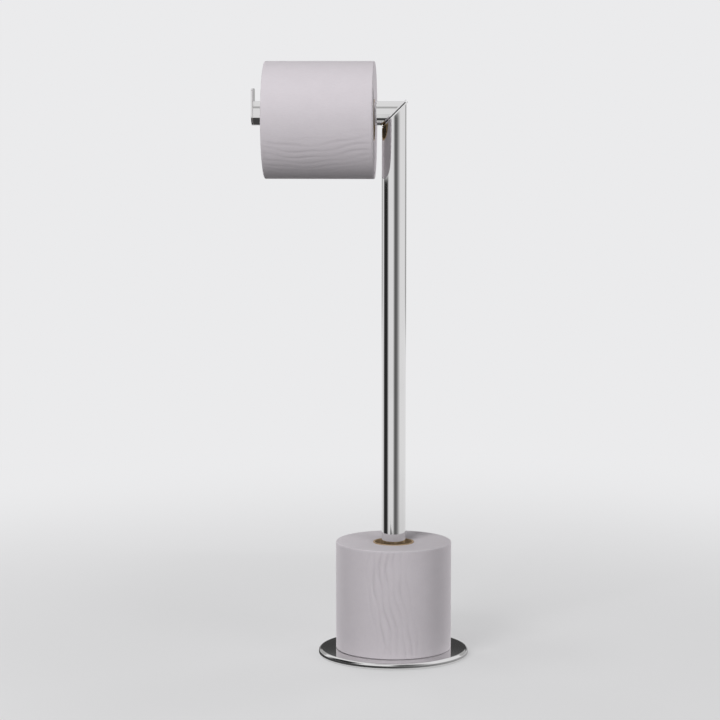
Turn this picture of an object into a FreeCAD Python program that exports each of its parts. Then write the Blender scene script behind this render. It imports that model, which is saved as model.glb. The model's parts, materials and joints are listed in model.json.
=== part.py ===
import FreeCAD, Part
import os
import re
import Sketcher

# Free-standing toilet roll stand: a weighted round base, one polished post, and a bar that meets the post in
# a 45 degree mitre and turns there from level to upright. Millimetres, +Z up, origin on the floor under the
# post. The bar points to -X, and the pivot runs from the post to the bar, half way between -X and +Z.

# Driving sizes: name, millimetres, meaning
DRIVING_SIZES = [
    ("tube_diameter", 22.2, "outside of the post and of the bar"),
    ("tube_wall", 1.2, "wall of both tubes"),
    ("bar_height", 499, "axis of the bar above the floor"),
    ("fit_gap", 0.1, "radial gap of plugs, screws and cores in their holes"),
    ("base_diameter", 138, "outside of the base cover"),
    ("cover_wall", 0.8, "sheet of the base cover"),
    ("cover_edge", 2.6, "rounding of the cover's upper edge"),
    ("rim_gap", 0.5, "floor to the cover's lower edge"),
    ("weight_land", 1.0, "metal of the weight above the screw's countersink"),
    ("pad_thickness", 1.2, "non-slip pad under the weight"),
    ("pad_margin", 6.5, "edge of the pad in from the edge of the weight"),
    ("screw_diameter", 6.0, "thread of the base screw"),
    ("screw_head", 12.0, "head of the base screw"),
    ("screw_recess", 0.2, "head of the base screw in from the weight's underside"),
    ("screw_grip", 18.0, "length of the base screw in the foot plug"),
    ("screw_key", 4.0, "hexagon socket of the base screw, across its flats"),
    ("screw_key_depth", 2.0, "depth of the hexagon socket"),
    ("screw_access", 20.0, "hole in the pad for the screw's head"),
    ("foot_plug_length", 28.0, "plug in the foot of the post"),
    ("mitre_plate", 1.2, "thickness of each plate at the mitre"),
    ("mitre_gap", 1.0, "gap between the two mitre plates"),
    ("mitre_lip", 0.4, "mitre plates proud of the tubes"),
    ("friction_inset", 0.8, "nylon washer in from the sides of the tubes"),
    ("hinge_web", 1.6, "metal between a mitre plate and its bolt pocket"),
    ("spigot_length", 24.0, "mitre plugs inside their tubes, from the corner of the axes"),
    ("thread_diameter", 4.0, "shank of the pivot bolt, and the end plate's stud"),
    ("pivot_play", 0.05, "radial running gap of the shank"),
    ("nut_flats", 7.0, "bolt head and nuts, across their flats"),
    ("nut_height", 2.2, "thin nuts"),
    ("head_height", 2.4, "head of the pivot bolt"),
    ("thread_end", 0.6, "shank or stud past its nut"),
    ("washer_margin", 0.4, "washers past the corners of the nut"),
    ("washer_thickness", 0.6, "flat washer"),
    ("spring_thickness", 0.35, "sheet of one disc spring"),
    ("spring_rise", 0.25, "cone height of one disc spring"),
    ("pocket_play", 0.25, "gap round the washers and the end nut in their pockets"),
    ("stop_inset", 2.6, "axis of the stop pin in from the side of the plug"),
    ("stop_diameter", 2.0, "stop pin"),
    ("stop_reach", 1.5, "stop pin past the gap, into the groove"),
    ("stop_seat", 1.4, "stop pin in the bar's plug, past the plate"),
    ("stop_play", 0.3, "gap round the stop pin in its groove"),
    ("end_plate_thickness", 1.8, "plate on the free end of the bar"),
    ("tab_rise", 11.4, "tab above the top of the bar"),
    ("tab_corner", 3.0, "rounding of the tab's corners"),
    ("end_plug_length", 16.0, "plug in the free end of the bar"),
    ("end_plug_web", 8.0, "solid part of that plug, between plate and nut"),
    ("roll_diameter", 107, "outside of a roll"),
    ("roll_length", 100, "width of the paper"),
    ("roll_edge", 0.8, "rounding of the paper's outer edges"),
    ("core_bore", 34.6, "hole in a roll's core"),
    ("core_wall", 1.4, "cardboard of the core"),
    ("core_inset", 0.5, "core in from the paper's ends"),
    ("roll_to_post", 6.4, "end of the bar's roll to the post"),
    ("roll_to_plate", 10.0, "end of the bar's roll to the end plate"),
    ("roll_rest_gap", 0.3, "core of the bar's roll above the bar"),
]
NAMES = [name for name, size, meaning in DRIVING_SIZES]

# Lengths worked out from the driving sizes, as formulas
TUBE_RADIUS = "(tube_diameter / 2)"
TUBE_BORE = "(tube_diameter / 2 - tube_wall)"
PLUG_RADIUS = "(tube_diameter / 2 - tube_wall - fit_gap)"
SCREW_BOTTOM = "(pad_thickness + screw_recess)"
SCREW_CONE = "((screw_head - screw_diameter) / 2)"
SCREW_HOLE = "(screw_diameter / 2 + fit_gap)"
WEIGHT_TOP = f"({SCREW_BOTTOM} + {SCREW_CONE} + weight_land)"
WEIGHT_RADIUS = "(base_diameter / 2 - cover_wall - fit_gap)"
BASE_TOP = f"({WEIGHT_TOP} + cover_wall)"
PLATE_INNER = "(mitre_gap / 2)"
PLATE_OUTER = "(mitre_gap / 2 + mitre_plate)"
THREAD_HOLE = "(thread_diameter / 2 + fit_gap)"
BOLT_SEAT = f"({PLATE_OUTER} + hinge_web)"
SPRINGS_AT = f"({BOLT_SEAT} + washer_thickness)"
SPRINGS_MIDDLE = f"({SPRINGS_AT} + spring_rise + spring_thickness)"
NUT_AT = f"({SPRINGS_AT} + 2 * (spring_rise + spring_thickness))"
BOLT_END = f"({NUT_AT} + nut_height + thread_end)"
WASHER_RADIUS = "(nut_flats / sqrt(3) + washer_margin)"
POCKET_RADIUS = f"({WASHER_RADIUS} + pocket_play)"
STOP_RADIUS = f"({PLUG_RADIUS} - stop_inset)"
GROOVE_HALF_WIDTH = "(stop_diameter / 2 + stop_play)"
GROOVE_DEPTH = "(stop_reach + stop_play)"
BAR_END = f"({TUBE_RADIUS} + roll_to_post + roll_length + roll_to_plate)"
BAR_REACH = f"({BAR_END} + end_plate_thickness)"
TAB_TOP = f"({TUBE_RADIUS} + tab_rise)"
CORE_RADIUS = "(core_bore / 2 + core_wall)"
PAPER_BORE = f"({CORE_RADIUS} + fit_gap)"
ROLL_DROP = f"(core_bore / 2 - {TUBE_RADIUS} - roll_rest_gap)"

Y_AXIS = FreeCAD.Vector(0, 1, 0)
ALONG_BAR = FreeCAD.Rotation(Y_AXIS, 90)
FROM_POST_TO_BAR = FreeCAD.Rotation(Y_AXIS, -45)
FROM_BAR_TO_POST = FreeCAD.Rotation(Y_AXIS, 135)
HALF_TURN = FreeCAD.Rotation(FreeCAD.Vector(0, 0, 1), 180)

doc = FreeCAD.newDocument("toilet_roll_stand")
sizes = doc.addObject("Spreadsheet::Sheet", "Sizes")
for row, (name, size, meaning) in enumerate(DRIVING_SIZES, start=1):
    sizes.set(f"A{row}", meaning)
    sizes.set(f"B{row}", str(size))
    sizes.setAlias(f"B{row}", name)
doc.recompute()


def formula(text):
    """Turn a formula on the plain size names into one that reads the sheet's cells."""
    return re.sub("[a-z_]+", lambda word: f"Sizes.{word[0]}" if word[0] in NAMES else word[0], text)


def value(text):
    """Work out a formula as a number."""
    return float(sizes.evalExpression(formula(text)))


def bind(thing, **formulas):
    """Tie properties of an object to formulas on the sheet."""
    for name, text in formulas.items():
        thing.setExpression(name, formula(text))
    return thing


def place(thing, x="0", y="0", z="0", rotation=None):
    """Put an object at a point given by three formulas, turned by a fixed rotation."""
    if rotation is not None:
        thing.Placement = FreeCAD.Placement(FreeCAD.Vector(), rotation)
    for axis, text in (("x", x), ("y", y), ("z", z)):
        thing.setExpression(f"Placement.Base.{axis}", formula(text))
    return thing


def place_on_pivot(thing, along="0", slope="0", side="0", turn=FreeCAD.Rotation()):
    """Put an object in the pivot's frame: along the pivot, up the mitre's slope, and towards the back."""
    x = f"({slope} - ({along})) / sqrt(2)"
    z = f"bar_height + ({slope} + ({along})) / sqrt(2)"
    return place(thing, x, side, z, FROM_POST_TO_BAR.multiply(turn))


def place_on_bar(thing, from_end="0", y="0", above="0"):
    """Put an object in the bar's frame: along the bar from the end plate's outer face, and above its axis."""
    return place(thing, f"{from_end} - {BAR_REACH}", y, f"bar_height + {above}", ALONG_BAR)


def cylinder(name, radius, height):
    """Round bar along its own Z."""
    return bind(doc.addObject("Part::Cylinder", name), Radius=radius, Height=height)


def box(name, length, width, height):
    """Block with one corner at its own origin."""
    return bind(doc.addObject("Part::Box", name), Length=length, Width=width, Height=height)


def hexagon(name, flats, height):
    """Six-sided bar along its own Z, given across its flats."""
    prism = doc.addObject("Part::Prism", name)
    prism.Polygon = 6
    return bind(prism, Circumradius=f"{flats} / sqrt(3)", Height=height)


def cut(name, body, tool):
    """One shape less another."""
    result = doc.addObject("Part::Cut", name)
    result.Base = body
    result.Tool = tool
    return result


def fuse(name, *shapes):
    """Several shapes as one solid, without seams between them."""
    result = doc.addObject("Part::MultiFuse", name)
    result.Shapes = list(shapes)
    result.Refine = True
    return result


def circle_edge(shape, radius, height):
    """Name of the shape's circular edge of this radius at this height."""
    for number, edge in enumerate(shape.Edges, start=1):
        if not isinstance(edge.Curve, Part.Circle):
            continue
        if abs(edge.Curve.Radius - radius) < 1e-4 and abs(edge.Curve.Center.z - height) < 1e-4:
            return f"Edge{number}"
    raise ValueError(f"no edge of radius {radius} at height {height}")


def turned_body(label, corners, rounded=()):
    """Body turned about its own Z from a closed outline, whose corners are a radius and a height each.

    rounded gives the radius and height of each edge to round, and its rounding.
    """
    body = doc.addObject("PartDesign::Body", label)
    sketch = body.newObject("Sketcher::SketchObject", f"{label}_outline")
    plane = [feature for feature in body.Origin.OriginFeatures if feature.Role == "XZ_Plane"][0]
    sketch.AttachmentSupport = [(plane, "")]
    sketch.MapMode = "FlatFace"
    points = [FreeCAD.Vector(value(radius), value(height), 0) for radius, height in corners]
    count = len(points)
    for index, point in enumerate(points):
        sketch.addGeometry(Part.LineSegment(point, points[(index + 1) % count]))
    for index in range(count):
        sketch.addConstraint(Sketcher.Constraint("Coincident", index, 2, (index + 1) % count, 1))
    for index, (radius, height) in enumerate(corners):
        for kind, text in (("DistanceX", radius), ("DistanceY", height)):
            number = sketch.addConstraint(Sketcher.Constraint(kind, -1, 1, index, 1, value(text)))
            sketch.setExpression(f"Constraints[{number}]", formula(text))
    turning = body.newObject("PartDesign::Revolution", f"{label}_turning")
    turning.Profile = sketch
    turning.ReferenceAxis = (sketch, ["V_Axis"])
    turning.Angle = 360
    doc.recompute()
    for number, (radius, height, rounding) in enumerate(rounded, start=1):
        whole = body.Tip
        fillet = body.newObject("PartDesign::Fillet", f"{label}_rounding_{number}")
        fillet.Base = (whole, [circle_edge(whole.Shape, value(radius), value(height))])
        bind(fillet, Radius=rounding)
        doc.recompute()
    return body


def beyond_plane(name, start, bar_side):
    """Block that fills the space on one side of a plane square to the pivot, for cutting tubes and plugs."""
    edge = "(4 * tube_diameter)"
    along = start if bar_side else f"{start} - {edge}"
    return place_on_pivot(box(name, edge, edge, edge), along, f"-{edge} / 2", f"-{edge} / 2")


def oval_plate(name, start, radius, thickness):
    """Oval plate with a square edge, in the shape of a bar of this radius where it is cut at 45 degrees."""
    oval = doc.addObject("Part::Ellipse", f"{name}_oval")
    bind(oval, MajorRadius=f"{radius} * sqrt(2)", MinorRadius=radius)
    place_on_pivot(oval, start)
    plate = doc.addObject("Part::Extrusion", name)
    plate.Base = oval
    plate.DirMode = "Custom"
    plate.Dir = FROM_POST_TO_BAR.multVec(FreeCAD.Vector(0, 0, 1))
    plate.Solid = True
    return bind(plate, LengthFwd=thickness)


def stop_groove(name, start, depth):
    """Half-round slot for the stop pin about the pivot, with round ends for the bar level and upright."""
    outside = cylinder(f"{name}_outside", f"{STOP_RADIUS} + {GROOVE_HALF_WIDTH}", depth)
    outside.Angle = 180
    place_on_pivot(outside, start, turn=HALF_TURN)
    inside = cylinder(f"{name}_inside", f"{STOP_RADIUS} - {GROOVE_HALF_WIDTH}", depth)
    place_on_pivot(inside, start)
    level_end = cylinder(f"{name}_level_end", GROOVE_HALF_WIDTH, depth)
    place_on_pivot(level_end, start, STOP_RADIUS)
    upright_end = cylinder(f"{name}_upright_end", GROOVE_HALF_WIDTH, depth)
    place_on_pivot(upright_end, start, f"-{STOP_RADIUS}")
    return fuse(name, cut(f"{name}_arc", outside, inside), level_end, upright_end)


# Base: a cover spun from thin sheet over a steel disc, with a pad stuck under the disc
cover_bore = "(base_diameter / 2 - cover_wall)"
base_cover = turned_body(
    "base_cover",
    [
        (SCREW_HOLE, WEIGHT_TOP),
        (cover_bore, WEIGHT_TOP),
        (cover_bore, "rim_gap"),
        ("base_diameter / 2", "rim_gap"),
        ("base_diameter / 2", BASE_TOP),
        (SCREW_HOLE, BASE_TOP),
    ],
    [
        ("base_diameter / 2", BASE_TOP, "cover_edge"),
        (cover_bore, WEIGHT_TOP, "cover_edge - cover_wall"),
    ],
)
sink_radius = "(screw_head / 2 + fit_gap)"
base_weight = turned_body(
    "base_weight",
    [
        (sink_radius, "pad_thickness"),
        (WEIGHT_RADIUS, "pad_thickness"),
        (WEIGHT_RADIUS, WEIGHT_TOP),
        (SCREW_HOLE, WEIGHT_TOP),
        (SCREW_HOLE, f"{SCREW_BOTTOM} + {SCREW_CONE}"),
        (sink_radius, SCREW_BOTTOM),
    ],
    [(WEIGHT_RADIUS, WEIGHT_TOP, "cover_edge - cover_wall")],
)
pad_disc = cylinder("pad_disc", f"{WEIGHT_RADIUS} - pad_margin", "pad_thickness")
base_pad = cut("base_pad", pad_disc, cylinder("pad_hole", "screw_access / 2", "pad_thickness"))

# Foot of the post: a countersunk screw from below pulls a threaded plug, and the tube with it, on the cover
screw_cone = doc.addObject("Part::Cone", "screw_cone")
bind(screw_cone, Radius1="screw_head / 2", Radius2="screw_diameter / 2", Height=SCREW_CONE)
place(screw_cone, z=SCREW_BOTTOM)
screw_shank = cylinder("screw_shank", "screw_diameter / 2", f"{BASE_TOP} + screw_grip - {SCREW_BOTTOM}")
place(screw_shank, z=SCREW_BOTTOM)
screw_socket = place(hexagon("screw_socket", "screw_key", "screw_key_depth"), z=SCREW_BOTTOM)
base_screw = cut("base_screw", fuse("screw_blank", screw_cone, screw_shank), screw_socket)
foot_blank = place(cylinder("foot_blank", PLUG_RADIUS, "foot_plug_length"), z=BASE_TOP)
foot_thread = place(cylinder("foot_thread", SCREW_HOLE, "foot_plug_length"), z=BASE_TOP)
post_foot_plug = cut("post_foot_plug", foot_blank, foot_thread)

# Post: a tube that stands on the cover and is cut at 45 degrees under the plate of its mitre plug
post_length = f"bar_height + tube_diameter - {BASE_TOP}"
post_outside = place(cylinder("post_outside", TUBE_RADIUS, post_length), z=BASE_TOP)
post_bore = place(cylinder("post_bore", TUBE_BORE, post_length), z=BASE_TOP)
post_pipe = cut("post_pipe", post_outside, post_bore)
post_tube = cut("post_tube", post_pipe, beyond_plane("above_post", f"-{PLATE_OUTER}", True))

# Mitre plug of the post: plate and spigot in one, with the bolt's hole, the nut's pocket and the pin's groove
plate_middle = f"({PLATE_INNER} + mitre_plate / 2)"
plate_radius = f"({TUBE_RADIUS} + mitre_lip)"
post_plate = oval_plate("post_plate", f"-{PLATE_OUTER}", plate_radius, "mitre_plate")
post_core = cylinder("post_core", PLUG_RADIUS, "spigot_length + tube_diameter")
place(post_core, z="bar_height - spigot_length")
post_spigot = cut("post_spigot", post_core, beyond_plane("above_post_spigot", f"-{plate_middle}", True))
post_plug_blank = fuse("post_plug_blank", post_plate, post_spigot)
post_bolt_hole = cylinder("post_bolt_hole", "thread_diameter / 2 + pivot_play", "tube_diameter")
place_on_pivot(post_bolt_hole, "-tube_diameter")
nut_pocket = cylinder("nut_pocket", POCKET_RADIUS, "tube_diameter")
place_on_pivot(nut_pocket, f"-{BOLT_SEAT} - tube_diameter")
plug_groove = stop_groove("plug_groove", f"-({PLATE_INNER} + {GROOVE_DEPTH})", GROOVE_DEPTH)
post_plug_cuts = fuse("post_plug_cuts", post_bolt_hole, nut_pocket, plug_groove)
post_mitre_plug = cut("post_mitre_plug", post_plug_blank, post_plug_cuts)

# Mitre plug of the bar: the same, with a six-sided pocket that holds the bolt's head and a hole for the pin
bar_core = cylinder("bar_core", PLUG_RADIUS, "spigot_length + tube_diameter")
place_on_bar(bar_core, f"{BAR_REACH} - spigot_length")
bar_spigot = cut("bar_spigot", bar_core, beyond_plane("below_bar_spigot", plate_middle, False))
bar_plate = oval_plate("bar_plate", PLATE_INNER, plate_radius, "mitre_plate")
bar_plug_blank = fuse("bar_plug_blank", bar_plate, bar_spigot)
bar_bolt_hole = place_on_pivot(cylinder("bar_bolt_hole", THREAD_HOLE, "tube_diameter"))
head_pocket = hexagon("head_pocket", "(nut_flats + 2 * fit_gap)", "tube_diameter")
place_on_pivot(head_pocket, BOLT_SEAT)
stop_hole = cylinder("stop_hole", "stop_diameter / 2 + fit_gap", "mitre_plate + stop_seat")
place_on_pivot(stop_hole, PLATE_INNER, STOP_RADIUS)
bar_plug_cuts = fuse("bar_plug_cuts", bar_bolt_hole, head_pocket, stop_hole)
arm_mitre_plug = cut("arm_mitre_plug", bar_plug_blank, bar_plug_cuts)

# Pivot: a bolt along the mitre's axis, kept tight by two disc springs, with an oval nylon washer in the gap
friction_radius = f"({TUBE_RADIUS} - friction_inset)"
friction_blank = oval_plate("friction_blank", f"-{PLATE_INNER}", friction_radius, "mitre_gap")
friction_hole = place_on_pivot(cylinder("friction_hole", THREAD_HOLE, "mitre_gap"), f"-{PLATE_INNER}")
friction_groove = stop_groove("friction_groove", f"-{PLATE_INNER}", "mitre_gap")
friction_cuts = fuse("friction_cuts", friction_hole, friction_groove)
friction_washer = cut("friction_washer", friction_blank, friction_cuts)
bolt_head = place_on_pivot(hexagon("bolt_head", "nut_flats", "head_height"), BOLT_SEAT)
bolt_shank = cylinder("bolt_shank", "thread_diameter / 2", f"{BOLT_SEAT} + {BOLT_END}")
place_on_pivot(bolt_shank, f"-{BOLT_END}")
pivot_bolt = fuse("pivot_bolt", bolt_head, bolt_shank)
washer_blank = cylinder("washer_blank", WASHER_RADIUS, "washer_thickness")
washer_hole = cylinder("washer_hole", THREAD_HOLE, "washer_thickness")
for ring in (washer_blank, washer_hole):
    place_on_pivot(ring, f"-{SPRINGS_AT}")
pivot_washer = cut("pivot_washer", washer_blank, washer_hole)
washer_spring = turned_body(
    "washer_spring",
    [
        (THREAD_HOLE, SPRINGS_AT),
        (THREAD_HOLE, f"{SPRINGS_AT} + spring_thickness"),
        (WASHER_RADIUS, SPRINGS_MIDDLE),
        (WASHER_RADIUS, f"{SPRINGS_AT} + spring_rise"),
    ],
)
nut_spring = turned_body(
    "nut_spring",
    [
        (THREAD_HOLE, f"{NUT_AT} - spring_thickness"),
        (THREAD_HOLE, NUT_AT),
        (WASHER_RADIUS, f"{NUT_AT} - spring_rise"),
        (WASHER_RADIUS, SPRINGS_MIDDLE),
    ],
)
for spring in (washer_spring, nut_spring):
    place(spring, z="bar_height", rotation=FROM_BAR_TO_POST)
disc_springs = doc.addObject("Part::Compound", "disc_springs")
disc_springs.Links = [washer_spring, nut_spring]
pivot_nut_blank = hexagon("pivot_nut_blank", "nut_flats", "nut_height")
pivot_nut_hole = cylinder("pivot_nut_hole", THREAD_HOLE, "nut_height")
for shape in (pivot_nut_blank, pivot_nut_hole):
    place_on_pivot(shape, f"-{NUT_AT} - nut_height")
pivot_nut = cut("pivot_nut", pivot_nut_blank, pivot_nut_hole)
stop_pin = cylinder("stop_pin", "stop_diameter / 2", "stop_reach + mitre_gap + mitre_plate + stop_seat")
place_on_pivot(stop_pin, f"-{PLATE_INNER} - stop_reach", STOP_RADIUS)

# Bar: a tube from the end plate to the mitre
bar_length = f"{BAR_END} + tube_diameter"
bar_outside = place_on_bar(cylinder("bar_outside", TUBE_RADIUS, bar_length), "end_plate_thickness")
bar_bore = place_on_bar(cylinder("bar_bore", TUBE_BORE, bar_length), "end_plate_thickness")
bar_pipe = cut("bar_pipe", bar_outside, bar_bore)
arm_tube = cut("arm_tube", bar_pipe, beyond_plane("below_bar", PLATE_OUTER, False))

# End plate: round below, level with the bar, and a square tab with rounded corners above it
plate_round = place_on_bar(cylinder("plate_round", TUBE_RADIUS, "end_plate_thickness"))
tab_parts = [plate_round]
for name, width, height in (
    ("tab_low", "tube_diameter", f"({TAB_TOP} - tab_corner)"),
    ("tab_high", "(tube_diameter - 2 * tab_corner)", TAB_TOP),
):
    block = box(name, "end_plate_thickness", width, height)
    tab_parts.append(place(block, f"-{BAR_REACH}", f"-{width} / 2", "bar_height"))
for name, corner_side in (("tab_front_corner", "-1"), ("tab_back_corner", "1")):
    corner = cylinder(name, "tab_corner", "end_plate_thickness")
    corner_y = f"{corner_side} * ({TUBE_RADIUS} - tab_corner)"
    tab_parts.append(place_on_bar(corner, "0", corner_y, f"{TAB_TOP} - tab_corner"))
arm_end_plate = fuse("arm_end_plate", *tab_parts)

# Fixing of the end plate: a stud welded to its back goes through a plug in the tube and takes a nut inside it
end_blank = place_on_bar(cylinder("end_blank", PLUG_RADIUS, "end_plug_length"), "end_plate_thickness")
stud_hole = place_on_bar(cylinder("stud_hole", THREAD_HOLE, "end_plug_length"), "end_plate_thickness")
end_pocket = cylinder("end_pocket", POCKET_RADIUS, "end_plug_length - end_plug_web")
place_on_bar(end_pocket, "end_plate_thickness + end_plug_web")
arm_end_plug = cut("arm_end_plug", end_blank, fuse("end_plug_cuts", stud_hole, end_pocket))
arm_end_stud = cylinder("arm_end_stud", "thread_diameter / 2", "end_plug_web + nut_height + thread_end")
place_on_bar(arm_end_stud, "end_plate_thickness")
end_nut_blank = hexagon("end_nut_blank", "nut_flats", "nut_height")
end_nut_hole = cylinder("end_nut_hole", THREAD_HOLE, "nut_height")
for shape in (end_nut_blank, end_nut_hole):
    place_on_bar(shape, "end_plate_thickness + end_plug_web")
arm_end_nut = cut("arm_end_nut", end_nut_blank, end_nut_hole)


def roll(label, start):
    """Wound paper and the cardboard core in it, from a start along the roll's own axis."""
    end = f"({start} + roll_length)"
    outside = "(roll_diameter / 2)"
    paper = turned_body(
        f"{label}_paper",
        [(PAPER_BORE, start), (outside, start), (outside, end), (PAPER_BORE, end)],
        [(outside, start, "roll_edge"), (outside, end, "roll_edge")],
    )
    low = f"({start} + core_inset)"
    high = f"({end} - core_inset)"
    core = turned_body(
        f"{label}_core",
        [("core_bore / 2", low), (CORE_RADIUS, low), (CORE_RADIUS, high), ("core_bore / 2", high)],
    )
    return paper, core


# Rolls: one hangs on the bar by the top of its core, one stands on the base round the post
bar_roll_paper, bar_roll_core = roll("bar_roll", "(end_plate_thickness + roll_to_plate)")
for piece in (bar_roll_paper, bar_roll_core):
    place_on_bar(piece, above=f"-{ROLL_DROP}")
stored_roll_paper, stored_roll_core = roll("stored_roll", BASE_TOP)

PIECES = [
    base_cover,
    base_weight,
    base_pad,
    base_screw,
    post_foot_plug,
    post_tube,
    post_mitre_plug,
    friction_washer,
    arm_mitre_plug,
    pivot_bolt,
    pivot_washer,
    disc_springs,
    pivot_nut,
    stop_pin,
    arm_tube,
    arm_end_plate,
    arm_end_plug,
    arm_end_stud,
    arm_end_nut,
    bar_roll_paper,
    bar_roll_core,
    stored_roll_paper,
    stored_roll_core,
]

doc.recompute()
for thing in doc.Objects:
    if "Invalid" in thing.State or "Error" in thing.State:
        raise RuntimeError(f"{thing.Name} did not build: {thing.State}")
for piece in PIECES:
    if piece.Shape.isNull() or not piece.Shape.isValid():
        raise RuntimeError(f"{piece.Label} has no sound shape")
os.makedirs("parts", exist_ok=True)
for piece in PIECES:
    piece.Shape.exportStep(f"parts/{piece.Label}.step")
    print(f"{piece.Label}: {len(piece.Shape.Solids)} solid, {piece.Shape.Volume / 1000:.2f} cm3")
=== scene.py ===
import json
from math import pi, radians

import bpy
import numpy as np
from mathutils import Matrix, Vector


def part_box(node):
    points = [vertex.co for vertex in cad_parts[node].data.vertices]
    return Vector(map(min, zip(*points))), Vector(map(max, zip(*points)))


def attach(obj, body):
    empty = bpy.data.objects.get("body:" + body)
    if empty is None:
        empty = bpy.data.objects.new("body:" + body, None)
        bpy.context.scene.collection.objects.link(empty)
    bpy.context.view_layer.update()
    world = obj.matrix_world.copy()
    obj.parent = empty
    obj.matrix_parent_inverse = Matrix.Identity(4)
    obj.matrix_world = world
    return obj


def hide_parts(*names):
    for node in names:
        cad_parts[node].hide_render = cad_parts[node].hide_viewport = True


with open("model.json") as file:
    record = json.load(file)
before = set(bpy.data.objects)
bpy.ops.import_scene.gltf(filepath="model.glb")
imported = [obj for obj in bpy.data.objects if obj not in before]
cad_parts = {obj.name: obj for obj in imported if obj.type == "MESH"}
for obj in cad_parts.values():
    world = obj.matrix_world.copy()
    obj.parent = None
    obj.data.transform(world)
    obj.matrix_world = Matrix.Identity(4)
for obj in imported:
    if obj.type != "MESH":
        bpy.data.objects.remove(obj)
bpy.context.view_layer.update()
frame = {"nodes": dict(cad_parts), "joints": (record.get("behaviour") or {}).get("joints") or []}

# Base weight: a disc turned from plain steel plate and zinc plated, which sits inside the cover and keeps
# the stand from tipping. It shows only from below, as a ring round the pad.

MM = 0.001


class Tap:
    """A socket in a node tree. Sums written with it add Math nodes, and node() adds any other kind."""

    def __init__(self, tree, socket=None):
        self.tree = tree
        self.socket = socket

    def feed(self, socket, value):
        """Link a tap to a node's socket, or set the socket to a plain value."""
        if isinstance(value, Tap):
            self.tree.links.new(value.socket, socket)
        else:
            socket.default_value = value

    def node(self, kind, settings=None, sockets=None, out=0):
        """Add a node: its settings first, then what its sockets take. Gives one of its outputs."""
        made = self.tree.nodes.new(kind)
        for name, value in (settings or {}).items():
            setattr(made, name, value)
        for name, value in (sockets or {}).items():
            self.feed(made.inputs[name], value)
        return Tap(self.tree, made.outputs[out])

    def math(self, operation, first, second):
        return self.node("ShaderNodeMath", {"operation": operation}, {0: first, 1: second})

    def __add__(self, other):
        return self.math("ADD", self, other)

    def __radd__(self, other):
        return self.math("ADD", other, self)

    def __rsub__(self, other):
        return self.math("SUBTRACT", other, self)

    def __mul__(self, other):
        return self.math("MULTIPLY", self, other)

    def __rmul__(self, other):
        return self.math("MULTIPLY", other, self)

    def rise(self, low, high):
        """0 below low, 1 above high, and a smooth step between them."""
        settings = {"interpolation_type": "SMOOTHSTEP"}
        return self.node("ShaderNodeMapRange", settings, {"Value": self, "From Min": low, "From Max": high})

    def between(self, low, high):
        """The colour low at 0, the colour high at 1, and a straight mix between them."""
        colours = {0: self, 6: (*low, 1), 7: (*high, 1)}
        return self.node("ShaderNodeMix", {"data_type": "RGBA"}, colours, out=2)

    def noise(self, scale, detail=2, stretch=(1, 1, 1)):
        """Noise from 0 to 1 on this place: scale cells to a metre, before the stretch along each axis."""
        spread = self.node("ShaderNodeMapping", sockets={"Vector": self, "Scale": stretch})
        return self.node("ShaderNodeTexNoise", sockets={"Vector": spread, "Scale": scale, "Detail": detail})

    def cells(self, scale):
        """A number from 0 to 1 for each cell of a crystal pattern, with scale cells to a metre."""
        picked = self.node("ShaderNodeTexVoronoi", sockets={"Vector": self, "Scale": scale}, out="Color")
        return picked.node("ShaderNodeSeparateColor", sockets={0: picked})

    def bump(self, depth):
        """Surface normal for this height, from 0 to 1, that stands depth metres tall."""
        return self.node("ShaderNodeBump", sockets={"Height": self, "Distance": depth}, out="Normal")


def new_finish(name, constants):
    """Material with its even values set. Gives it, its shader's sockets and the place on the piece."""
    material = bpy.data.materials.new(name)
    material.use_nodes = True
    sockets = material.node_tree.nodes["Principled BSDF"].inputs
    for word, value in constants.items():
        sockets[word].default_value = value
    place = Tap(material.node_tree).node("ShaderNodeTexCoord", out="Object")
    return material, sockets, place


def dress(node, material):
    """Give a CAD node its finish."""
    for holder in frame["nodes"][node].material_slots:
        holder.material = material


def zinc_plate(name, dull, bright, crystals):
    """Zinc plating: grey crystals of slightly different tone and shine, and a faint handling haze."""
    material, sockets, place = new_finish(name, {"Metallic": 1.0})
    crystal = place.cells(crystals)
    haze = place.noise(60, 4)
    place.feed(sockets["Base Color"], (0.6 * crystal + 0.4 * haze).between(dull, bright))
    place.feed(sockets["Roughness"], 0.3 + 0.15 * crystal + 0.15 * haze)
    place.feed(sockets["Normal"], place.noise(900, 3).bump(0.02 * MM))
    return material


dress("base_weight", zinc_plate("zinc on the weight", (0.36, 0.37, 0.38), (0.52, 0.53, 0.54), 260))

# Base pad: a ring of black foam rubber, die cut from sheet and stuck under the weight. It is all that
# touches the floor, and its grip keeps the stand from sliding.

pad_rubber, sockets, place = new_finish("foam rubber", {"Specular IOR Level": 0.25})
foam = place.noise(1400, 3)
place.feed(sockets["Base Color"], foam.between((0.012, 0.012, 0.013), (0.045, 0.045, 0.047)))
place.feed(sockets["Roughness"], 0.8 + 0.15 * foam)
place.feed(sockets["Normal"], foam.bump(0.25 * MM))
dress("base_pad", pad_rubber)

# Base screw: a countersunk steel screw with a hexagon socket, zinc plated. It is driven from below through
# the weight and the cover into the foot of the post, and clamps them together.

screw_zinc = zinc_plate("zinc on the screws", (0.5, 0.5, 0.49), (0.66, 0.66, 0.65), 900)
dress("base_screw", screw_zinc)

# Base cover: thin stainless sheet, spun over a former to a flat top with a round edge, and mirror polished.
# It is pressed over the weight, and the post stands on it.


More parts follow.
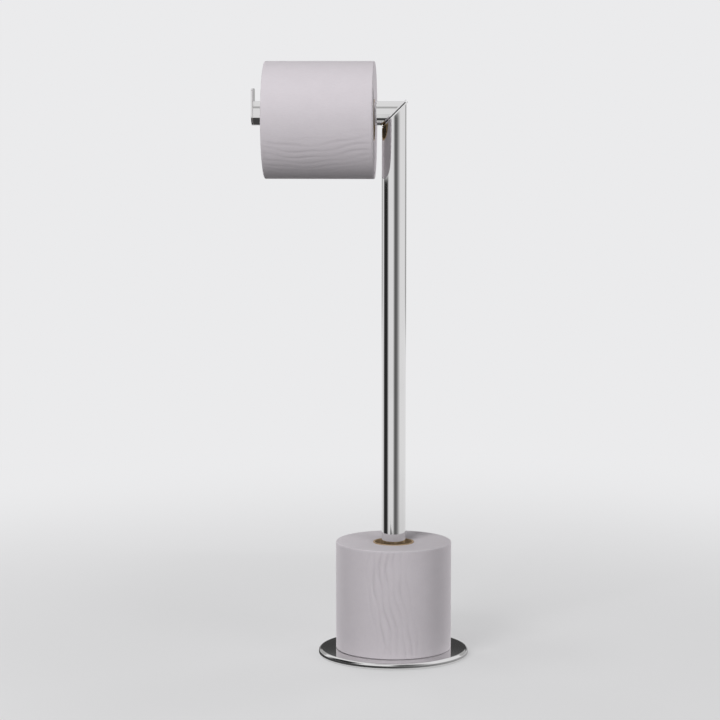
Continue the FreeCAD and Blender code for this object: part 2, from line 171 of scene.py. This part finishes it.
def skin(name, points, caps=False):
    """Smooth mesh through a grid of points: rows follow the profile and columns go round the piece.

    Rows join up too, last to first, unless caps closes the first and the last row with a flat face each.
    The faces are turned over where the volume that they enclose comes out negative.
    """
    rows, columns = points.shape[:2]
    index = np.arange(rows * columns).reshape(rows, columns)
    upper = np.roll(index, -1, axis=0)
    faces = np.stack([index, np.roll(index, -1, axis=1), np.roll(upper, -1, axis=1), upper], axis=-1)
    if caps:
        faces = faces[:-1]
    faces = faces.reshape(-1, 4)
    flat = points.reshape(-1, 3)
    a, b, c, d = (flat[column] for column in faces.T)
    volume = np.sum(np.cross(a, b) * c) + np.sum(np.cross(a, c) * d)
    if caps:
        for row, sign in ((index[0], -1), (index[-1], 1)):
            rim = flat[row] - flat[row[0]]
            volume += sign * np.sum(np.cross(rim, np.roll(rim, -1, axis=0)) @ flat[row[0]])
    way = -1 if volume < 0 else 1
    outlines = faces[:, ::way].tolist()
    if caps:
        outlines += [index[0, ::-way].tolist(), index[-1, ::way].tolist()]
    mesh = bpy.data.meshes.new(name)
    mesh.from_pydata(flat.tolist(), [], outlines)
    mesh.shade_smooth()
    mesh.set_sharp_from_angle(angle=radians(35))
    return mesh


def turned(radius, along, angle, origin, axes):
    """Points round an axis: origin + radius (cos, sin) on the first two axes + along on the third."""
    across, up, forward = (np.array(axis, float) for axis in axes)
    radius, along, angle = (grid[..., None] for grid in np.broadcast_arrays(radius, along, angle))
    return np.array(origin) + radius * (np.cos(angle) * across + np.sin(angle) * up) + along * forward


def arc(centre, radius, start, stop, count):
    """Part of a circle, given in degrees: points at centre + radius (cos, sin), in a row for each radius."""
    sweep = np.radians(np.linspace(start, stop, count))
    circle = np.stack([np.cos(sweep), np.sin(sweep)], axis=-1)
    return np.array(centre) + np.array(radius)[..., None, None] * circle


def add_piece(name, mesh, material, node, body):
    """Make a piece of a mesh that stands for a CAD node and rides on that node's body."""
    made = bpy.data.objects.new(name, mesh)
    bpy.context.scene.collection.objects.link(made)
    mesh.materials.append(material)
    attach(made, body)
    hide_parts(node)


def polished_steel(name, lines):
    """Mirror-polished stainless steel: fine polishing lines, and wiped patches where the shine is duller."""
    material, sockets, place = new_finish(name, {"Metallic": 1.0})
    haze = place.noise(14, 5).rise(0.5, 0.8)
    fine = lines(place)
    wear = 0.6 * haze + 0.4 * fine
    place.feed(sockets["Base Color"], wear.between((0.83, 0.825, 0.82), (0.74, 0.735, 0.73)))
    place.feed(sockets["Roughness"], 0.03 + 0.045 * haze + 0.03 * fine)
    place.feed(sockets["Normal"], fine.bump(0.0015 * MM))
    return material


def from_axis(place):
    """Distance from the Z axis: the length of the place with its height left out."""
    level = place.node("ShaderNodeVectorMath", {"operation": "MULTIPLY"}, {0: place, 1: (1, 1, 0)})
    return level.node("ShaderNodeVectorMath", {"operation": "LENGTH"}, {0: level}, out="Value")


def rings(radius, scale, detail):
    """Noise along the radius alone, from 0 to 1, with scale cells to a metre."""
    steps = {"W": radius, "Scale": scale, "Detail": detail}
    return radius.node("ShaderNodeTexNoise", {"noise_dimensions": "1D"}, steps)


def circular_lines(place):
    """Polishing lines that follow circles round the post's axis."""
    return rings(from_axis(place), 1800, 3)


X, Y, Z = np.eye(3)
cover_low, cover_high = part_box("base_cover")
cover_radius = cover_high.x
cover_hole = 3.1 * MM
cover_wall = 0.8 * MM
cover_edge = 2.6 * MM
cover_lip = 0.25 * MM
edge_centre = (cover_radius - cover_edge, cover_high.z - cover_edge)
lip_height = cover_low.z + cover_lip
flat_top = [(radius, cover_high.z) for radius in (cover_hole, 0.5 * cover_radius, edge_centre[0])]
cover_rows = np.concatenate([
    flat_top,
    arc(edge_centre, cover_edge, 89, 0, 24),
    arc((cover_radius - cover_lip, lip_height), cover_lip, 0, -90, 5),
    arc((cover_radius - cover_wall + cover_lip, lip_height), cover_lip, -90, -180, 5),
    arc(edge_centre, cover_edge - cover_wall, 0, 90, 12),
    [(cover_hole, cover_high.z - cover_wall)],
])
cover_radii, cover_heights = cover_rows.T[..., None]
round_base = np.linspace(0, 2 * pi, 256, endpoint=False)
cover_mesh = skin("base_cover_skin", turned(cover_radii, cover_heights, round_base, (0, 0, 0), (X, Y, Z)))
cover_steel = polished_steel("polished steel of the base", circular_lines)
add_piece("polished_base_cover", cover_mesh, cover_steel, "base_cover", "stand")

# Post: a stainless tube that stands on the cover, cut at 45 degrees at the top and polished along its
# length. A threaded steel plug in its foot takes the base screw.


def mitred_tube(name, origin, axes, outside, reach, slope):
    """Tube from origin along the third axis, cut square at its start and by a plane at its end.

    The end lies at reach + slope * radius * (cos or sin of the angle), with a slope for each of the first
    two axes.
    """
    wall = 1.2 * MM
    angle = np.linspace(0, 2 * pi, 192, endpoint=False)
    radii = np.array([outside, outside, outside - wall, outside - wall])[:, None]
    ends = np.array([0, 1, 1, 0])[:, None]
    cut = reach + radii * (slope[0] * np.cos(angle) + slope[1] * np.sin(angle))
    return skin(name, turned(radii, ends * cut, angle, origin, axes))


def post_lines(place):
    """Polishing lines along the post: noise stretched along Z."""
    return place.noise(900, 3, (1, 1, 0.02))


dress("post_foot_plug", zinc_plate("zinc on the foot plug", (0.36, 0.37, 0.38), (0.52, 0.53, 0.54), 500))
corner = Vector(next(joint["pos_m"] for joint in frame["joints"] if joint["name"] == "bar_swivel"))
post_low, post_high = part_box("post_tube")
tube_radius = post_high.x
plate_drop = corner.z + tube_radius - post_high.z
post_reach = corner.z - plate_drop - post_low.z
post_mesh = mitred_tube("post_tube_skin", (0, 0, post_low.z), (X, Y, Z), tube_radius, post_reach, (1, 0))
post_steel = polished_steel("polished steel of the post", post_lines)
add_piece("polished_post_tube", post_mesh, post_steel, "post_tube", "stand")

# Mitre: each tube ends in a machined steel plug whose oval plate covers the slanted cut. A bolt along the
# mitre's axis, two disc springs and a lock nut press the plates on a nylon washer, and a pin stops the turn.

dress("post_mitre_plug", post_steel)
dress("arm_mitre_plug", post_steel)
for fastener in ("pivot_bolt", "pivot_washer", "disc_springs", "pivot_nut", "stop_pin"):
    dress(fastener, screw_zinc)

nylon, sockets, place = new_finish("black nylon", {"Specular IOR Level": 0.4})
mould = place.noise(700, 4)
place.feed(sockets["Base Color"], mould.between((0.018, 0.018, 0.02), (0.05, 0.05, 0.055)))
place.feed(sockets["Roughness"], 0.45 + 0.2 * mould)
place.feed(sockets["Normal"], mould.bump(0.03 * MM))
dress("friction_washer", nylon)

# Bar: a second length of the same tube, cut at 45 degrees where it meets the post and polished along its
# length. It holds the roll in use, and its free end takes the end plate.


def bar_lines(place):
    """Polishing lines along the bar: noise stretched along X."""
    return place.noise(900, 3, (0.02, 1, 1))


arm_low, arm_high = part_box("arm_tube")
bar_start = (arm_low.x, 0, corner.z)
bar_reach = arm_high.x - tube_radius - arm_low.x
bar_mesh = mitred_tube("arm_tube_skin", bar_start, (Y, Z, X), tube_radius, bar_reach, (0, 1))
bar_steel = polished_steel("polished steel of the bar", bar_lines)
add_piece("polished_arm_tube", bar_mesh, bar_steel, "arm_tube", "arm")

# End plate: laser-cut stainless plate with its edges eased, round below and a square tab above, which keeps
# the roll from sliding off. A stud on its back goes through a plug in the tube and takes a nut there.

plate_low, plate_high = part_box("arm_end_plate")
plate_ease = 0.35 * MM
tab_corner = 3 * MM
tab_side = tube_radius - tab_corner
tab_top = plate_high.z - tab_corner
ease = np.radians(np.linspace(90, 0, 6))
near_inset = plate_ease * (1 - np.cos(ease))
near_x = plate_low.x + plate_ease * (1 - np.sin(ease))
inset = np.concatenate([near_inset, near_inset[::-1]])
plate_x = np.concatenate([near_x, plate_low.x + plate_high.x - near_x[::-1]])
# Each row is the outline on Y and Z, drawn in by its inset: two round corners above and a half circle below.
plate_outlines = np.concatenate([
    arc((tab_side, tab_top), tab_corner - inset, 0, 90, 9),
    arc((-tab_side, tab_top), tab_corner - inset, 90, 180, 9),
    arc((0, corner.z), tube_radius - inset, 180, 360, 65),
], axis=1)
plate_depth = np.broadcast_to(plate_x[:, None], plate_outlines.shape[:2])
plate_mesh = skin("arm_end_plate_skin", np.dstack([plate_depth, plate_outlines]), caps=True)
plate_steel = polished_steel("polished steel of the end plate", post_lines)
add_piece("polished_arm_end_plate", plate_mesh, plate_steel, "arm_end_plate", "arm")
dress("arm_end_plug", nylon)
dress("arm_end_stud", screw_zinc)
dress("arm_end_nut", screw_zinc)

# Roll cores: two plies of grey-brown board, wound in a spiral and glued to a tube, so that a seam runs
# round it. Each stays in its roll, and the one on the bar hangs by the top of its bore.


def core_skin(name, origin, axes, length, outside):
    """Board tube with a spiral seam at the angle 2 pi height / pitch.

    There the wall is thinner by a bell curve of the way round, half as deep outside as inside.
    """
    wall = 1.4 * MM
    inside = outside - wall
    seam_pitch, seam_width, seam_depth = 62 * MM, 1.2 * MM, 0.25 * MM
    angle = np.linspace(0, 2 * pi, 240, endpoint=False)
    heights = np.linspace(0, length, 90)[:, None]
    ahead = (angle - 2 * pi * heights / seam_pitch + pi) % (2 * pi) - pi
    seam = seam_depth * np.exp(-(ahead * inside / seam_width) ** 2)
    radii = np.concatenate([outside - 0.5 * seam, inside + seam[::-1]])
    along = np.concatenate([heights, heights[::-1]])
    mesh = skin(name, turned(radii, along, angle, origin, axes))
    depth = np.concatenate([seam, seam[::-1]]) / seam_depth
    mesh.attributes.new("seam", "FLOAT", "POINT").data.foreach_set("value", depth.ravel())
    return mesh


core_board, sockets, place = new_finish("core board", {"Specular IOR Level": 0.2})
fibre = place.noise(450, 5)
fleck = place.noise(1500, 2).rise(0.62, 0.72)
seam = place.node("ShaderNodeAttribute", {"attribute_name": "seam"}, out="Fac")
board_tone = (0.75 * fibre + 0.45 * fleck + 0.55 * seam).between((0.64, 0.48, 0.31), (0.36, 0.25, 0.15))
place.feed(sockets["Base Color"], board_tone)
place.feed(sockets["Roughness"], 0.8 + 0.12 * fibre)
place.feed(sockets["Normal"], fibre.bump(0.08 * MM))

# Rolls: soft tissue with a pressed pattern of flowing lines, wound on the core in one long spiral. One roll
# stands on the base round the post, and one hangs on the bar by the top of its core.


def paper_skin(name, origin, axes, length, bore, outside, tail, wave):
    """Wound tissue as one closed skin round its axis.

    The profile runs out over the first end, along the side, back over the second end and down the bore. The
    side steps in by one sheet at the tail, whose end lifts a little, and spirals out from there. Two bands
    of it are pressed in along lines at equal steps round the roll, all of them swinging by a sine of the
    height, each straying and fading by its own. wave gives the angle of a band's middle, the height where
    its swing starts, the length of the swing, and the depth of the lines. The ends show the windings as
    shallow rings of uneven depth and sink a little towards the core. The roll is out of round by a sine
    squared of the angle.
    """
    edge, sheet, out_of_round = 1.1 * MM, 0.3 * MM, 0.3 * MM
    angle = np.linspace(0, 2 * pi, 512, endpoint=False)
    end_radii = np.linspace(bore, outside - edge, 34)
    bend = np.radians(np.linspace(0, 90, 6))[1:-1]
    side_heights = np.linspace(edge, length - edge, 52)
    low_radii = np.concatenate([end_radii, outside - edge + edge * np.sin(bend)])
    low_heights = np.concatenate([0 * end_radii, edge - edge * np.cos(bend)])
    radii = np.concatenate([low_radii, 0 * side_heights + outside, low_radii[::-1]])[:, None]
    heights = np.concatenate([low_heights, side_heights, length - low_heights[::-1]])[:, None]
    outer = np.clip((radii - outside + 2 * edge) / edge, 0, 1)
    inner = 1 - outer

    tail_lift, tail_reach = 0.25 * MM, 3 * MM
    turn = ((angle - tail) % (2 * pi)) / (2 * pi)
    lift = tail_lift * np.exp(-(((1 - turn) * 2 * pi * outside) / tail_reach) ** 2)
    winding = sheet * (1 - turn) - lift

    middle, crossing, wavelength, line_depth = wave
    swing, band, repeat, margin = 5.5 * MM, 19 * MM, pi * outside, 5 * MM
    flow = swing * np.sin(2 * pi * (heights - crossing) / wavelength)
    around = ((angle - middle) * outside - flow + repeat / 2) % repeat - repeat / 2
    line_count, line_step, line_width = 31, 6.4 * MM, 1.3 * MM
    line = np.rint(around / line_step)
    which = (line + line_count // 2).astype(int)
    chance = np.random.default_rng(5)
    firmness, phase = chance.uniform(0.4, 1, line_count), chance.uniform(0, 2 * pi, line_count)
    fade_length, stray_length, stray_width = 48 * MM, 37 * MM, 0.9 * MM
    firm = firmness[which] * (0.7 + 0.3 * np.sin(2 * pi * heights / fade_length + phase[which]))
    stray = stray_width * np.sin(2 * pi * heights / stray_length + 5 * phase[which])
    off_line = around - line * line_step - stray
    pressed = firm * np.exp(-(off_line / line_width) ** 2) * np.exp(-(around / band) ** 4)
    clear_of_ends = np.clip(np.minimum(heights, length - heights) / margin, 0, 1)
    pressed = pressed * clear_of_ends * outer

    ring_step, fine_step, fine_share, ring_depth = 3.1 * MM, 1.9 * MM, 0.7, 0.06 * MM
    coarse = np.sin(2 * pi * radii / ring_step + angle)
    fine = fine_share * np.sin(2 * pi * radii / fine_step + angle + 1)
    dish_depth, dish_width = 1.1 * MM, 12 * MM
    dish = dish_depth * np.clip((bore + dish_width - radii) / dish_width, 0, 1) ** 2
    sunk = inner * (ring_depth * (coarse + fine + 1 + fine_share) + dish)
    heights = np.where(heights < length / 2, heights + sunk, heights - sunk)
    radii = radii - outer * (winding + line_depth * pressed + out_of_round * np.sin(angle + 1) ** 2)
    mesh = skin(name, turned(radii, heights, angle, origin, axes))
    # The same mask goes to the tissue's colour, where it paints shade into the pressed lines.
    mesh.attributes.new("pressed", "FLOAT", "POINT").data.foreach_set("value", pressed.ravel())
    return mesh


def tissue(name, origin, turn, outside):
    """Soft paper: white with a faint mauve cast, fine crinkles along the axis, windings on the ends, and
    painted shade in the pressed lines.
    """
    soft = {"Specular IOR Level": 0.15, "Sheen Weight": 0.15, "Sheen Roughness": 0.6}
    material, sockets, place = new_finish(name, soft)
    # The place on the roll, with the roll's axis as Z and its first end at 0.
    local = place.node("ShaderNodeMapping", {"vector_type": "TEXTURE"},
                       {"Vector": place, "Location": origin, "Rotation": turn})
    radius = from_axis(local)
    windings = rings(radius, 900, 4)
    on_side = radius.rise(outside - 2.2 * MM, outside - 1.2 * MM)
    crinkle = local.noise(1300, 3, (1, 1, 0.25))
    cloud = local.noise(90, 4)
    pressed = place.node("ShaderNodeAttribute", {"attribute_name": "pressed"}, out="Fac")
    grain = on_side * crinkle + (1 - on_side) * windings
    # Painted shade: the pressed lines are darker in colour, as if shade lay in their grooves.
    shade = 0.35 * cloud + 0.45 * grain + 0.6 * pressed
    place.feed(sockets["Base Color"], shade.between((0.75, 0.705, 0.745), (0.63, 0.587, 0.625)))
    place.feed(sockets["Roughness"], 0.86 + 0.1 * crinkle)
    place.feed(sockets["Normal"], grain.bump(0.12 * MM))
    return material


def add_roll(label, origin, axes, turn, tail, wave):
    """Paper and core of one roll, from the centre of its first end along the third axis."""
    core_gap = 0.1 * MM
    paper_low, paper_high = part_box(f"{label}_paper")
    core_low, core_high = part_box(f"{label}_core")
    forward = Vector(axes[2])
    length = (paper_high - paper_low).dot(forward)
    core_inset = (core_low - paper_low).dot(forward)
    outside = (paper_high.y - paper_low.y) / 2
    core_outside = (core_high.y - core_low.y) / 2
    core_origin = Vector(origin) + core_inset * forward
    core = core_skin(f"{label}_core_skin", core_origin, axes, length - 2 * core_inset, core_outside)
    add_piece(f"{label}_board_core", core, core_board, f"{label}_core", label)
    bore = core_outside + core_gap
    paper = paper_skin(f"{label}_paper_skin", origin, axes, length, bore, outside, tail, wave)
    add_piece(f"{label}_tissue", paper, tissue(f"tissue of {label}", origin, turn, outside),
              f"{label}_paper", label)


stored_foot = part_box("stored_roll_paper")[0].z
add_roll("stored_roll", (0, 0, stored_foot), (X, Y, Z), (0, 0, 0), radians(105),
         (radians(271), 117 * MM, 150 * MM, 0.9 * MM))
hung_low, hung_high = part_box("bar_roll_paper")
hung_axis = (hung_low.z + hung_high.z) / 2
add_roll("bar_roll", (hung_low.x, 0, hung_axis), (Y, Z, X), (pi / 2, 0, pi / 2), radians(-40),
         (radians(212), 0, 150 * MM, 0.24 * MM))

# Studio: a plain pale floor that fades into the pale surroundings, soft lamps, and cards from black to white
# that only glossy finishes reflect, set so that they draw the edges of the polished steel.

PALE = (0.83, 0.83, 0.84)
DIM = (0.14, 0.14, 0.14)


def sees_studio(tap):
    """1 for rays from the camera, from mirror finishes and through glass, and 0 for soft light."""
    rays = tap.tree.nodes.new("ShaderNodeLightPath").outputs
    camera, glossy, through = (
        Tap(tap.tree, rays[word]) for word in ("Is Camera Ray", "Is Glossy Ray", "Is Transmission Ray")
    )
    return camera + glossy + through


world = bpy.data.worlds.new("pale surroundings")
bpy.context.scene.world = world
world.use_nodes = True
studio = Tap(world.node_tree)
studio.feed(world.node_tree.nodes["Background"].inputs["Color"], sees_studio(studio).between(DIM, PALE))


def add_stage(name, corners):
    """Flat four-sided stage piece, with a UV map over its whole face."""
    mesh = bpy.data.meshes.new(name)
    mesh.from_pydata([tuple(point) for point in corners], [], [(0, 1, 2, 3)])
    mesh.uv_layers.new(name="face").data.foreach_set("uv", (0, 0, 1, 0, 1, 1, 0, 1))
    made = bpy.data.objects.new(name, mesh)
    bpy.context.scene.collection.objects.link(made)
    return made


FLOOR_HALF = 12.0
floor = add_stage("floor", [(-FLOOR_HALF, -FLOOR_HALF, 0), (FLOOR_HALF, -FLOOR_HALF, 0),
                            (FLOOR_HALF, FLOOR_HALF, 0), (-FLOOR_HALF, FLOOR_HALF, 0)])
floor_paint, sockets, place = new_finish("pale floor", {"Roughness": 0.9})
seen = sees_studio(place)
place.feed(sockets["Base Color"], seen.between((0.22, 0.22, 0.22), (0.74, 0.74, 0.745)))
floor_distance = place.node("ShaderNodeVectorMath", {"operation": "LENGTH"}, {0: place}, out="Value")
glow = place.node("ShaderNodeEmission", sockets={"Color": seen.between(DIM, PALE)})
painted = Tap(place.tree, place.tree.nodes["Principled BSDF"].outputs[0])
fade = 0.45 + 0.55 * floor_distance.rise(0.25, 1.2)
faded = place.node("ShaderNodeMixShader", sockets={0: fade, 1: painted, 2: glow})
from_below = place.node("ShaderNodeNewGeometry", out="Backfacing")
clear = place.node("ShaderNodeBsdfTransparent")
one_sided = place.node("ShaderNodeMixShader", sockets={0: from_below, 1: faded, 2: clear})
place.feed(place.tree.nodes["Material Output"].inputs["Surface"], one_sided)
floor.data.materials.append(floor_paint)


def add_card(name, middle, across, up, tone, fades):
    """Card of one grey tone that glossy finishes alone see: its middle, and half its two sides as vectors.

    It is clear at its edges. fades gives the share of a side over which it fills in: left, right and ends.
    """
    middle, across, up = (Vector(given) for given in (middle, across, up))
    corners = [middle - across - up, middle + across - up, middle + across + up, middle - across + up]
    made = add_stage(name, corners)
    for kind in ("camera", "diffuse", "transmission", "volume_scatter", "shadow"):
        setattr(made, f"visible_{kind}", False)
    paint = bpy.data.materials.new(name)
    paint.use_nodes = True
    card = Tap(paint.node_tree)
    split = paint.node_tree.nodes.new("ShaderNodeSeparateXYZ")
    card.feed(split.inputs[0], card.node("ShaderNodeTexCoord", out="UV"))
    along, height = (Tap(paint.node_tree, split.outputs[axis]) for axis in "XY")
    left, right, ends = fades
    across_fade = along.rise(0, left) * (1 - along).rise(0, right)
    solid = across_fade * height.rise(0, ends) * (1 - height).rise(0, ends)
    grey = card.node("ShaderNodeEmission", sockets={"Color": (tone, tone, tone, 1)})
    clear = card.node("ShaderNodeBsdfTransparent")
    mixed = card.node("ShaderNodeMixShader", sockets={0: solid, 1: clear, 2: grey})
    card.feed(paint.node_tree.nodes["Material Output"].inputs["Surface"], mixed)
    made.data.materials.append(paint)


# The left and right cards draw the dark stripes of the post, the low and foot cards the bands under the bar,
# the bore card shades the roll's bore in the mitre, the back and far cards shade the base, and the top card
# draws the grey line along the bar.
add_card("left_card", (-0.366, -0.066, 0.215), (-0.048, 0.276, 0), (0, 0, 0.215), 0.025, (0.33, 0.33, 0.03))
add_card("right_card", (0.186, -0.324, 0.25), (0.246, 0.144, 0), (0, 0, 0.25), 0.12, (0.32, 0.58, 0.03))
add_card("low_card", (-0.12, -0.06, 0.002), (0.26, 0, 0), (0, 0.56, 0), 0.06, (0.3, 0.3, 0.03))
add_card("foot_card", (-0.02, -0.16, 0.004), (0.07, 0, 0), (0, 0.08, 0), 0.75, (0.2, 0.2, 0.3))
add_card("bore_card", (-0.145, 0, 0.475), (0, 0.024, 0), (0, 0, 0.014), 0.02, (0.05, 0.05, 0.05))
add_card("back_card", (0.0, 1.5, 0.27), (0.75, 0, 0), (0, 0, 0.17), 0.055, (0.2, 0.2, 0.25))
add_card("far_card", (0, 1.9, 0.6), (2.6, 0, 0), (0, 0, 0.6), 0.42, (0.15, 0.15, 0.1))
add_card("top_card", (-0.05, -0.6, 1.58), (0.7, 0, 0), (0, 0.31, 0.17), 0.42, (0.2, 0.2, 0.45))


def add_lamp(name, place, aim, width, height, power):
    """Rectangular soft lamp at a place, turned to a point, and not seen in the polished steel."""
    light = bpy.data.lights.new(name, "AREA")
    light.shape = "RECTANGLE"
    light.size = width
    light.size_y = height
    light.energy = power
    made = bpy.data.objects.new(name, light)
    bpy.context.scene.collection.objects.link(made)
    made.location = place
    made.rotation_euler = (Vector(aim) - Vector(place)).to_track_quat("-Z", "Y").to_euler()
    made.visible_camera = False
    made.visible_glossy = False


MIDDLE = (-0.03, 0, 0.28)
add_lamp("top_lamp", (-0.5, -0.05, 2.0), MIDDLE, 0.3, 0.3, 6)
add_lamp("key_lamp", (-0.9, -1.8, 1.3), MIDDLE, 0.9, 0.9, 29)
add_lamp("fill_lamp", (1.5, -1.3, 0.6), MIDDLE, 0.9, 1.2, 9)
add_lamp("back_lamp", (0, 1.5, 0.8), MIDDLE, 1.2, 0.6, 3)
add_lamp("right_lamp", (1.1, 1.2, 0.15), MIDDLE, 0.5, 0.3, 15)
add_lamp("left_lamp", (-1.0, 1.4, 0.15), MIDDLE, 0.5, 0.3, 15)

camera = bpy.data.cameras.new("camera")
camera.lens = 132
viewer = bpy.data.objects.new("camera", camera)
bpy.context.scene.collection.objects.link(viewer)
viewer.location = (0.088, -2.4, 0.56)
viewer.rotation_euler = (Vector((-0.031, 0, 0.274)) - viewer.location).to_track_quat("-Z", "Y").to_euler()
bpy.context.scene.camera = viewer
bpy.context.scene.view_settings.view_transform = "Standard"
